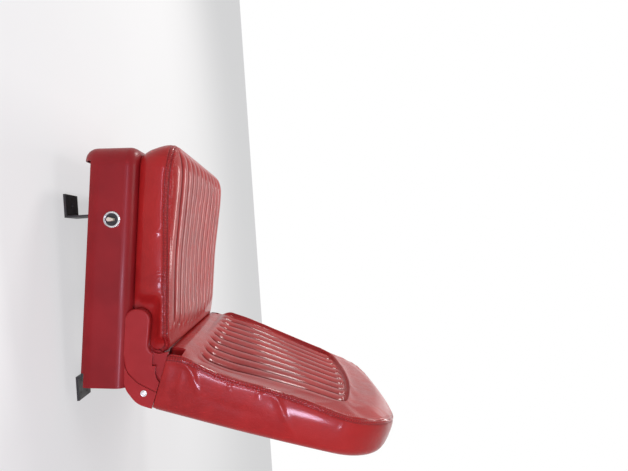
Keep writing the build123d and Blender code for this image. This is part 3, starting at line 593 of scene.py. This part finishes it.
def make_back():
    """Backrest pad and its threads: bolsters round the sunk panel, and boxing turned in behind."""
    pleats = pleat_columns(PANEL_PLEAT_HALF, PLEATS)
    edge = np.array([224.5, 226, 227.5, 230, 235, 241, 248, 255, 262, 268, 272.5, 276, 279, 280.8, BACK_HALF])
    columns = np.concatenate([-edge[::-1], pleats, edge])
    # Rows: level ones, ones that bend into the panel's arch, then ones up to the outline
    level_top = 300
    low = np.concatenate([[ROLL_U, -4, 0, 6, 14, 22, 30, 38, 45, 52, 60], steps(68, level_top, 8.5)])
    to_panel = 1 - (1 - np.linspace(0, 1, 19)[1:]) ** 1.15
    above = np.concatenate([[0.02, 0.05, 0.1], np.linspace(0.17, 1, 16)[:-4], [0.88, 0.94, 0.98, 1.0]])
    lip, top_row = panel_top(columns), arch_top(columns)
    u = np.vstack([np.repeat(low[:, None], len(columns), 1),
                   level_top + to_panel[:, None] * (lip - level_top)[None, :],
                   lip[None, :] + above[:, None] * (top_row - lip)[None, :]])
    x = np.repeat(columns[None, :], len(u), 0)
    u = np.where(u < 0, u * smooth((NOTCH_X[0] - 0.5 - np.abs(x)) / 10), u)
    facing = np.dstack([x, back_face(x, u), u])
    sheets = Sheets()
    front = sheets.add(facing, np.dstack([facing, np.zeros_like(x)]), flip=True)
    rows, cols = front.shape
    loop = [(i, cols - 1) for i in range(rows)] + [(rows - 1, j) for j in range(cols - 2, -1, -1)]
    loop += [(i, 0) for i in range(rows - 2, -1, -1)] + [(0, j) for j in range(1, cols - 1)]
    seam = np.array([facing[i, j] for i, j in loop])
    out_x, out_u, _ = arch_normal(seam[:, 0], seam[:, 2])
    bottom = seam[:, 2] < 0.01
    corner = bottom & (np.abs(seam[:, 0]) > BACK_HALF - 0.01)
    out_x = np.where(bottom & ~corner, 0, out_x)
    out_u = np.where(bottom, 0, out_u)
    down = np.where(bottom, -1.0, 0.0)
    depth = rear_n(seam[:, 2])
    share = (0, 0.018, 0.045, 0.08, 0.12, 0.17, 0.23, 0.3, 0.38, 0.47, 0.56, 0.65, 0.74, 0.83, 0.92, 1.0)
    bulge = curve((0, 0), (0.06, 1.6), (0.2, 3.6), (0.5, 5.0), (0.8, 3.6), (1, 2.5))
    strip, marks = [], []

    def row(at_n, side_offset, low_offset, mark):
        """One round of the boxing: moved out at the sides and top, and in from below by low_offset."""
        level = np.where(seam[:, 2] < 0, seam[:, 2] * (1 - smooth((at_n - 30) / 40)), seam[:, 2])
        lowest = -low_offset if low_offset else ROLL_U - 1
        level = np.maximum(level + out_u * side_offset + down * low_offset, lowest)
        limit = BACK_HALF + side_offset
        strip.append(np.stack([np.clip(seam[:, 0] + out_x * side_offset, -limit, limit), at_n, level], 1))
        marks.append(np.full(len(seam), mark))
    for t in share:
        row(seam[:, 1] + (depth - REAR_EDGE_R - seam[:, 1]) * t, bulge(t), 0, t)
    for angle in np.radians([18, 36, 54, 72, 85]):
        at_n = depth - REAR_EDGE_R + REAR_EDGE_R * math.sin(angle)
        row(at_n, bulge(1) - REAR_EDGE_R * (1 - math.cos(angle)), 0, 1 + angle / 2)
    # Turned in behind the board
    row(depth - 0.8, -24.5, -24.5, 2)
    row(np.full(len(seam), REAR_LIP_N), -25, -25, 2.2)
    strip, marks = np.array(strip), np.array(marks)
    sheets.add(strip, np.dstack([strip, marks]), close=True, flip=True)
    points, tag = np.array(sheets.points), np.array(sheets.tags)
    rest_x, rest_u, boxing = tag[:, 0], tag[:, 2], tag[:, 3]
    # Held in the cloth pass: seam, rear edge, foot and the panel's rim, and less so the valleys
    pins = np.zeros(len(points))
    for i, j in loop:
        pins[front[i, j]] = 1
    pins[boxing > 1.1] = 1
    pins[rest_u < 46] = 1
    within = panel_inside(rest_x, rest_u)
    pins[(boxing == 0) & (np.abs(within) < 3) & (rest_u > 50)] = 1
    stitched = np.abs((rest_x + PANEL_PLEAT_HALF) / PANEL_PITCH % 1) < 0.002
    stitched &= (boxing == 0) & (np.abs(rest_x) < PANEL_PLEAT_HALF + 1)
    pins[stitched & (within > 0)] = VALLEY_PIN
    points = inflate(points, sheets.faces, pins)
    piece = mesh_object("back_pad", points, sheets.faces, tag, TAG_NAMES)
    subdivide(piece)
    fill_holes(piece)
    cut_notch(piece, 1)
    cut_notch(piece, -1)
    mesh = piece.data
    co, normals = coordinates(mesh), normals_of(mesh)
    rest_x, rest_u, boxing = tag_of(mesh, "rest_x"), tag_of(mesh, "rest_b"), tag_of(mesh, "boxing")
    across = np.abs((rest_x + PANEL_PLEAT_HALF) / PANEL_PITCH % 1 - 0.5) * 2
    reach = smooth((panel_inside(rest_x, rest_u) - 4) / 8) * smooth((rest_u - 48) / 20)
    reach *= smooth((PANEL_PLEAT_HALF + 2 - np.abs(rest_x)) / 5) * (boxing < 0.01)
    co += normals * (pleat_shape(across) * reach)[:, None]
    relief, gap, run = seam_relief(co, np.vstack([seam, seam[:1]]), boxing > 0)
    relief += creases(co, rest_x, (boxing > 0.04) & (boxing < 1.5), BACK_CREASES)
    # The roll stays even, since it turns close to the cushion
    relief *= np.where(np.abs(rest_x) < 240, smooth((rest_u + 1) / 14), 1)
    co += normals * relief[:, None]
    write_back(piece, co, BACK_AXES, seam_gap=gap, seam_run=run, **pleat_marks(across, reach))
    # Stitched up one side, over the top and down the other, not along the foot
    sides = slice(8, len(seam) - cols - 6)
    rearward = np.array([[0.0, 1.0, 0.0]]).repeat(len(seam), 0)[sides]
    thread_rows = ((rearward, 2.6), (rearward, SEAM_BAND))
    return piece, stitches("back_stitches", co, mesh, seam[sides], thread_rows, BACK_AXES)


# Folds of the backrest's boxing: side, height and width in millimetres, then points (n, u)
BACK_CREASES = (
    (1, 3.6, 6.0, ((8, 2), (3, 20), (3, 35), (7, 47), (14, 56), (25, 65), (38, 73), (54, 83))),
    (1, 1.6, 6.0, ((16, 41), (34, 42), (56, 42), (74, 44))),
    (1, 1.3, 6.0, ((24, 12), (46, 14), (72, 15))),
    (1, 1.5, 6.0, ((16, 248), (35, 263), (54, 275), (73, 292), (86, 308))),
    (1, 1.2, 5.0, ((19, 238), (30, 257), (46, 268))),
    (1, 1.3, 4.0, ((7, 207), (20, 210), (33, 213))),
    (1, 1.1, 4.0, ((19, 144), (37, 149))),
    (1, -1.4, 10.0, ((62, 100), (70, 160), (66, 220))),
    (-1, 3.2, 6.0, ((8, 2), (4, 20), (4, 35), (8, 46), (16, 57), (28, 66), (44, 74))),
    (-1, 1.4, 6.0, ((20, 220), (38, 236), (60, 250))),
    (-1, 1.3, 5.0, ((16, 330), (36, 322), (58, 330))))


# Turned cup washer and oval screw head, from the rim inward: radius and rise in millimetres
SCREW_PROFILE = ((7.0, -0.4), (7.0, 0.5), (6.7, 0.9), (6.2, 1.05), (5.7, 0.95), (5.2, 0.7), (4.9, 0.45),
                 (4.75, 0.8), (4.6, 1.3), (4.2, 1.65), (3.6, 1.9), (3.0, 2.05), (2.4, 2.15), (1.8, 2.2),
                 (1.2, 2.2), (0.6, 2.2))
SCREW_RISE, RECESS_DEPTH, RECESS_REACH, RECESS_HALF = 2.2, 1.5, 2.9, 0.75


def make_screw(name, side):
    """Oval-head screw with a cross recess, in a turned cup washer."""
    low, high = (np.array(corner) * 1000 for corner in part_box(name))
    middle = (low + high) / 2
    face_x = (high[0] if side > 0 else -low[0]) - SCREW_RISE
    points, faces, count = [], [], 48
    for r, rise in SCREW_PROFILE:
        for k in range(count):
            turn = 2 * math.pi * k / count + 0.35
            y, z = r * math.cos(turn), r * math.sin(turn)
            near, far = sorted((abs(y), abs(z)))
            arm = max(0.0, 1 - near / RECESS_HALF) * max(0.0, min(1.0, (RECESS_REACH - far) / 0.8))
            depth = RECESS_DEPTH * min(1.0, 1.6 * arm)
            points.append((side * (face_x + rise - depth), middle[1] + y, middle[2] + z))
    points.append((side * (face_x + SCREW_RISE - RECESS_DEPTH), middle[1], middle[2]))
    last = (len(SCREW_PROFILE) - 1) * count
    for start in range(0, last, count):
        for k in range(count):
            a, b = start + k, start + (k + 1) % count
            faces.append((a, b, b + count, a + count))
    faces += [(last + k, last + (k + 1) % count, len(points) - 1) for k in range(count)]
    piece = mesh_object(name + "_head", np.array(points) / 1000, faces)
    fill_holes(piece)
    shade_smooth(piece.data)
    return piece


class Nodes:
    """A node tree with short calls for what it is made of."""

    def __init__(self, tree):
        self.tree = tree

    def add(self, kind, **settings):
        node = self.tree.nodes.new(kind)
        for key, value in settings.items():
            setattr(node, key, value)
        return node

    def feed(self, socket, value):
        if isinstance(value, bpy.types.NodeSocket):
            self.tree.links.new(value, socket)
        else:
            socket.default_value = value

    def math(self, operation, *values):
        node = self.add("ShaderNodeMath", operation=operation)
        for socket, value in zip(node.inputs, values):
            self.feed(socket, value)
        return node.outputs[0]

    def times(self, first, second):
        return self.math("MULTIPLY", first, second)

    def plus(self, *values):
        total = values[0]
        for value in values[1:]:
            total = self.math("ADD", total, value)
        return total

    def glow(self, kind, color, strength=1.0):
        node = self.add(kind)
        node.inputs["Color"].default_value = (*color, 1)
        node.inputs["Strength"].default_value = strength
        return node.outputs[0]

    def shown_rays(self):
        """1 for the rays that see the background: camera, glossy and transmission."""
        rays = self.add("ShaderNodeLightPath").outputs
        shown = self.math("MAXIMUM", rays["Is Camera Ray"], rays["Is Glossy Ray"])
        return self.math("MAXIMUM", shown, rays["Is Transmission Ray"])

    def mix_shader(self, share, first, second):
        node = self.add("ShaderNodeMixShader")
        for socket, value in zip(node.inputs, (share, first, second)):
            self.feed(socket, value)
        return node.outputs[0]


class Look(Nodes):
    """One material. Heights are in millimetres."""

    def __init__(self, name):
        self.material = bpy.data.materials.new(name)
        self.material.use_nodes = True
        super().__init__(self.material.node_tree)
        self.shader = self.tree.nodes["Principled BSDF"]
        self.place = self.add("ShaderNodeTexCoord").outputs["Object"]

    def stretched(self, stretch):
        node = self.add("ShaderNodeVectorMath", operation="MULTIPLY")
        self.feed(node.inputs[0], self.place)
        node.inputs[1].default_value = stretch
        return node.outputs[0]

    def noise(self, scale, detail=2.0, stretch=(1, 1, 1), distortion=0.0):
        node = self.add("ShaderNodeTexNoise")
        self.feed(node.inputs["Vector"], self.stretched(stretch))
        for key, value in (("Scale", scale), ("Detail", detail), ("Distortion", distortion)):
            node.inputs[key].default_value = value
        return node.outputs["Fac"]

    def cells(self, scale, stretch=(1, 1, 1)):
        """Distance to the edges of a cell pattern."""
        node = self.add("ShaderNodeTexVoronoi", feature="DISTANCE_TO_EDGE")
        self.feed(node.inputs["Vector"], self.stretched(stretch))
        node.inputs["Scale"].default_value = scale
        return node.outputs["Distance"]

    def span(self, value, low, high, to_low=0.0, to_high=1.0):
        """Smooth step of a value, from low to high."""
        node = self.add("ShaderNodeMapRange", interpolation_type="SMOOTHSTEP")
        for key, number in (("From Min", low), ("From Max", high), ("To Min", to_low), ("To Max", to_high)):
            node.inputs[key].default_value = number
        self.feed(node.inputs["Value"], value)
        return node.outputs["Result"]

    def mix(self, share, first, second):
        node = self.add("ShaderNodeMix", data_type="RGBA")
        self.feed(node.inputs[0], share)
        for socket, value in ((node.inputs[6], first), (node.inputs[7], second)):
            self.feed(socket, (*value, 1) if isinstance(value, tuple) else value)
        return node.outputs[2]

    def attribute(self, name):
        return self.add("ShaderNodeAttribute", attribute_name=name).outputs["Fac"]

    def edge_wear(self):
        """1 on edges, where the normal of a rounded surface leaves the plain one."""
        bevel = self.add("ShaderNodeBevel", samples=4)
        bevel.inputs["Radius"].default_value = 0.0015
        dot = self.add("ShaderNodeVectorMath", operation="DOT_PRODUCT")
        self.feed(dot.inputs[0], bevel.outputs["Normal"])
        self.feed(dot.inputs[1], self.add("ShaderNodeNewGeometry").outputs["Normal"])
        return self.span(dot.outputs["Value"], 0.995, 0.93)

    def finish(self, color, roughness, height, **constants):
        self.feed(self.shader.inputs["Base Color"], color)
        self.feed(self.shader.inputs["Roughness"], roughness)
        bump = self.add("ShaderNodeBump")
        bump.inputs["Distance"].default_value = 0.001
        self.feed(bump.inputs["Height"], height)
        self.feed(self.shader.inputs["Normal"], bump.outputs["Normal"])
        for key, value in constants.items():
            self.shader.inputs[key.replace("_", " ")].default_value = value
        return self.material


def leather_look():
    """Old glossy red leather: grain, wrinkles, cracks across the pleats, painted shade in the valleys and
    seams, paler streaks on the ridges, puckered seams.
    """
    look = Look("leather")
    valley, ridge = look.attribute("valley"), look.attribute("ridge")
    gap, run = look.attribute("seam_gap"), look.attribute("seam_run")
    broad, blotch = look.noise(7, 3), look.noise(38, 4)
    crack_line = look.cells(95, (0.32, 1.5, 1.5))
    cracked = look.times(look.span(crack_line, 0.03, 0.0), look.span(look.noise(16, 3), 0.52, 0.68))
    cracked = look.times(cracked, look.plus(look.times(ridge, 0.85), 0.05))
    # Paler pink streaks along the pleat ridges, broken by stretched noise
    ridge_streaks = look.times(look.span(look.noise(24, 4, (1, 0.35, 1)), 0.45, 0.75), ridge)
    color = look.mix(look.span(broad, 0.3, 0.7), (0.305, 0.0115, 0.0115), (0.400, 0.0165, 0.0145))
    color = look.mix(look.times(look.span(blotch, 0.4, 0.7), 0.35), color, (0.435, 0.022, 0.018))
    color = look.mix(look.times(ridge_streaks, 0.5), color, (0.44, 0.05, 0.045))
    # Painted shade: the pleat valleys are darkened nearly to black, where shade falls between the pleats
    color = look.mix(look.times(look.span(valley, 0.0, 0.9), 0.9), color, (0.075, 0.0035, 0.005))
    # Painted shade in the sunk seam and stitch line, and a dark tick at each stitch of the band between them
    # as painted shade of its pucker
    off_seam = look.math("ABSOLUTE", gap)
    off_band = look.math("ABSOLUTE", look.math("SUBTRACT", gap, SEAM_BAND))
    band_line = look.times(look.span(off_band, 2.2, 0.2), 0.8)
    lines = look.math("MAXIMUM", look.span(off_seam, 2.4, 0.3), band_line)
    wave = look.math("SINE", look.times(run, 2 * math.pi / STITCH_PITCH))
    on_band = look.times(look.span(gap, 0.3, 1.5), look.span(gap, SEAM_BAND + 1.5, SEAM_BAND - 0.5))
    ticks = look.times(look.span(wave, -0.1, 0.7), on_band)
    seam_shade = look.math("MAXIMUM", look.times(lines, 0.78), look.times(ticks, 0.5))
    color = look.mix(seam_shade, color, (0.10, 0.0045, 0.0065))
    color = look.mix(look.times(cracked, 0.75), color, (0.48, 0.22, 0.14))
    roughness = look.span(blotch, 0.3, 0.7, 0.29, 0.4)
    roughness = look.plus(roughness, look.times(cracked, 0.3), look.times(valley, 0.15))
    grain = look.times(look.span(look.cells(620), 0.0, 0.25), 0.05)
    soft = look.times(look.noise(55, 3, distortion=0.8), 0.5)
    fine = look.times(look.span(look.cells(150, (1.0, 1.0, 0.6)), 0.0, 0.12), 0.09)
    beside = look.times(look.span(off_seam, 18.0, 7.0), look.span(off_seam, 0.5, 2.0))
    pucker = look.times(look.times(wave, 0.35), beside)
    height = look.plus(grain, soft, fine, pucker, look.times(cracked, -0.25))
    return look.finish(color, roughness, height, Specular_IOR_Level=0.1, Coat_Weight=0.42,
                       Coat_Roughness=0.12, Coat_IOR=1.4)


def painted_look(name, dark, light, rough, pebble, wrinkle, worn, **constants):
    """Coated surface: mottled colour, fine pebbles, slow unevenness and rubbed edges."""
    look = Look(name)
    blotch = look.noise(9, 3)
    scuff = look.span(look.noise(180, 4, (1, 0.3, 1)), 0.6, 0.8)
    edge = look.times(look.edge_wear(), look.span(look.noise(70, 3), 0.45, 0.65))
    color = look.mix(look.span(blotch, 0.3, 0.7), dark, light)
    color = look.mix(look.times(edge, 0.6), color, worn)
    color = look.mix(look.times(scuff, 0.07), color, worn)
    roughness = look.plus(look.span(blotch, 0.3, 0.7, *rough), look.times(scuff, 0.08))
    pebbles = look.times(look.span(look.cells(850), 0.0, 0.25), pebble)
    height = look.plus(pebbles, look.times(look.noise(26, 2), wrinkle))
    return look.finish(color, roughness, height, **constants)


def metal_look(name, dark, light, rough, brushed, stain, metallic=1.0, **constants):
    """Metal or paint on steel: drawn lines, cloudy polish and stains."""
    look = Look(name)
    cloud = look.noise(45, 4)
    lines = look.noise(420, 2, (1, 0.06, 1))
    spots = look.span(look.noise(90, 5), 0.6, 0.7)
    color = look.mix(look.span(cloud, 0.3, 0.7), dark, light)
    color = look.mix(look.times(spots, 0.55), color, stain)
    roughness = look.plus(look.span(cloud, 0.3, 0.7, *rough), look.times(spots, 0.2))
    height = look.plus(look.times(lines, brushed), look.times(spots, 0.03))
    return look.finish(color, roughness, height, Metallic=metallic, **constants)


def bezel_look():
    """Bright fluted ring with a dull black cup inside it."""
    look = Look("bezel_chrome")
    low, high = (np.array(corner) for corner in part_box("switch_bezel"))
    middle = (low + high) / 2
    shift = look.add("ShaderNodeVectorMath", operation="SUBTRACT")
    look.feed(shift.inputs[0], look.place)
    shift.inputs[1].default_value = (0, middle[1], middle[2])
    look.place = shift.outputs[0]
    reach = look.add("ShaderNodeVectorMath", operation="LENGTH")
    look.feed(reach.inputs[0], look.stretched((0, 1, 1)))
    ring = look.span(reach.outputs["Value"], 0.0135, 0.0142)
    cloud = look.noise(160, 3)
    bright = look.mix(look.span(cloud, 0.35, 0.65), (0.62, 0.62, 0.63), (0.84, 0.84, 0.85))
    color = look.mix(ring, (0.012, 0.011, 0.011), bright)
    look.feed(look.shader.inputs["Metallic"], ring)
    dull = look.times(look.math("SUBTRACT", 1.0, ring), 0.55)
    roughness = look.math("MAXIMUM", look.span(cloud, 0.3, 0.7, 0.1, 0.2), dull)
    return look.finish(color, roughness, look.times(cloud, 0.02))


leather = leather_look()
# Coated looks: dark and light colour, roughness range, pebble and wrinkle height, worn colour
thread = painted_look("thread", (0.24, 0.011, 0.013), (0.42, 0.03, 0.03), (0.5, 0.65),
                      0.05, 0.0, (0.5, 0.12, 0.1), Specular_IOR_Level=0.3)
skirt_red = painted_look("skirt_red", (0.235, 0.010, 0.0125), (0.300, 0.0135, 0.0155), (0.34, 0.46),
                         0.035, 0.5, (0.42, 0.06, 0.05),
                         Specular_IOR_Level=0.15, Coat_Weight=0.12, Coat_Roughness=0.2)
cover_red = painted_look("cover_red", (0.325, 0.0165, 0.0175), (0.400, 0.022, 0.022), (0.3, 0.4),
                         0.02, 0.25, (0.5, 0.1, 0.08),
                         Specular_IOR_Level=0.15, Coat_Weight=0.15, Coat_Roughness=0.2)
board = painted_look("board_red", (0.23, 0.010, 0.012), (0.30, 0.014, 0.015), (0.45, 0.58),
                     0.06, 0.35, (0.42, 0.07, 0.06), Specular_IOR_Level=0.15)
ivory = painted_look("ivory", (0.60, 0.52, 0.36), (0.74, 0.68, 0.52), (0.25, 0.35),
                     0.0, 0.1, (0.5, 0.4, 0.25), Subsurface_Weight=0.08, Subsurface_Scale=0.003)
# Metal looks: dark and light colour, roughness range, height of drawn lines, stain, share of metal
bezel_chrome = bezel_look()
chrome = metal_look("chrome", (0.72, 0.72, 0.73), (0.84, 0.84, 0.85), (0.07, 0.15), 0.002, (0.45, 0.42, 0.4))
black_steel = metal_look("black_steel", (0.018, 0.017, 0.017), (0.032, 0.031, 0.03), (0.42, 0.58),
                         0.02, (0.085, 0.04, 0.022), 0.0)
zinc = metal_look("zinc", (0.40, 0.40, 0.38), (0.56, 0.55, 0.50), (0.34, 0.5), 0.03, (0.26, 0.2, 0.13))
spring_steel = metal_look("spring_steel", (0.20, 0.19, 0.18), (0.34, 0.33, 0.31), (0.32, 0.45),
                          0.02, (0.16, 0.07, 0.03))
cast_metal = metal_look("cast_metal", (0.33, 0.33, 0.33), (0.46, 0.46, 0.46), (0.48, 0.62),
                        0.08, (0.16, 0.15, 0.14))
enamel = metal_look("enamel", (0.022, 0.022, 0.024), (0.04, 0.04, 0.043), (0.22, 0.36),
                    0.01, (0.09, 0.085, 0.08), 0.0, Coat_Weight=0.3)

# Material of each carried-over node, by the first key that its name holds
NODE_LOOKS = (("skirt", skirt_red), ("arm_cover", cover_red), ("arm_end", cover_red),
              ("hinge_arm", cover_red), ("back_panel", board), ("bezel", bezel_chrome),
              ("screw", chrome), ("knob", ivory), ("spring", spring_steel), ("pin", zinc),
              ("rail", zinc), ("motor", enamel), ("gear", cast_metal), ("shaft", zinc),
              ("", black_steel))
for name, node in nodes.items():
    look = next(value for key, value in NODE_LOOKS if key in name)
    node.data.materials.clear()
    node.data.materials.append(look)


def soft_piece(piece, threads, body, node):
    """Puts a pad and its threads on a body, in place of the plain solid."""
    piece.data.materials.append(leather)
    threads.data.materials.append(thread)
    for part in (piece, threads):
        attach(part, body)
    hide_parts(node)


cushion, cushion_threads = make_cushion()
soft_piece(cushion, cushion_threads, "seat", "seat_cushion")

back, back_threads = make_back()
soft_piece(back, back_threads, "backrest", "back_cushion")

for side, word in ((1, "left"), (-1, "right")):
    screw = make_screw("arm_screw_" + word, side)
    screw.data.materials.append(chrome)
    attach(screw, "seat")
    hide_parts("arm_screw_" + word)

# Pale floor, which glows a little for the rays that see it
floor = mesh_object("floor", [(-6, -6, 0), (6, -6, 0), (6, 6, 0), (-6, 6, 0)], [(0, 1, 2, 3)])
pale = Look("floor_paint")
pale_color = pale.mix(pale.noise(3, 3), (0.84, 0.84, 0.84), (0.88, 0.88, 0.88))
pale.finish(pale_color, 0.85, pale.times(pale.noise(60, 2), 0.2))
floor_glow = pale.glow("ShaderNodeEmission", (0.93, 0.93, 0.93))
both = pale.mix_shader(pale.times(pale.shown_rays(), 0.6), pale.shader.outputs[0], floor_glow)
pale.feed(pale.tree.nodes["Material Output"].inputs["Surface"], both)
floor.data.materials.append(pale.material)

# White background, which lights the seat only softly
scene.world = bpy.data.worlds.new("studio")
scene.world.use_nodes = True
scene.world.node_tree.nodes.clear()
sky = Nodes(scene.world.node_tree)
soft_light = sky.glow("ShaderNodeBackground", (0.92, 0.93, 1.0), 0.22)
white = sky.glow("ShaderNodeBackground", (1, 1, 1))
background = sky.mix_shader(sky.shown_rays(), soft_light, white)
sky.feed(sky.add("ShaderNodeOutputWorld").inputs[0], background)

# Lights: name, place, target, size in metres, power in watts, colour
LIGHTS = (("front_key", (-0.8, -2.2, 1.7), (0, 0.1, 0.45), (0.7, 0.36), 34, (1.0, 0.96, 0.94)),
          ("far_top", (-1.25, 0.0, 2.1), (0, 0.0, 0.25), (1.2, 0.26), 19, (1.0, 0.97, 0.96)),
          ("near_top", (0.9, -0.3, 2.4), (0.1, 0.1, 0.3), (0.8, 0.8), 9, (1.0, 0.98, 0.97)),
          ("side_strip", (2.3, 0.21, 0.36), (0.28, 0.2, 0.38), (0.09, 0.6), 11, (0.86, 0.76, 1.0)),
          ("side_rear", (2.3, 0.74, 0.62), (0.28, 0.28, 0.5), (0.2, 0.3), 13, (0.84, 0.74, 1.0)),
          ("side_front", (2.3, -0.42, 0.55), (0.28, -0.2, 0.2), (0.4, 0.22), 5, (0.8, 0.7, 1.0)))
for name, place, target, size, power, color in LIGHTS:
    lamp = bpy.data.lights.new(name, "AREA")
    lamp.shape = "RECTANGLE"
    lamp.size, lamp.size_y = size
    lamp.energy = power
    lamp.color = color
    light = bpy.data.objects.new(name, lamp)
    light.location = place
    light.rotation_euler = (Vector(target) - Vector(place)).to_track_quat("-Z", "Y").to_euler()
    scene.collection.objects.link(light)

# Camera of the photograph, which is stored on its side: its right, its up, and the way behind it
FOCAL_PIXELS, PHOTO_WIDTH, SENSOR_WIDTH = 460, 628, 36
camera = bpy.data.objects.new("camera", bpy.data.cameras.new("camera"))
scene.collection.objects.link(camera)
turn = Matrix(((0.05643, 0.06976, 0.99597), (0.00543, -0.99756, 0.06956), (0.99839, 0.00148, -0.05667)))
camera.matrix_world = Matrix.Translation((1.292, -0.100, 0.501)) @ turn.transposed().to_4x4()
camera.data.lens = SENSOR_WIDTH * FOCAL_PIXELS / PHOTO_WIDTH
camera.data.sensor_width = SENSOR_WIDTH
camera.data.sensor_fit = "HORIZONTAL"
scene.camera = camera
scene.view_settings.view_transform = "Standard"
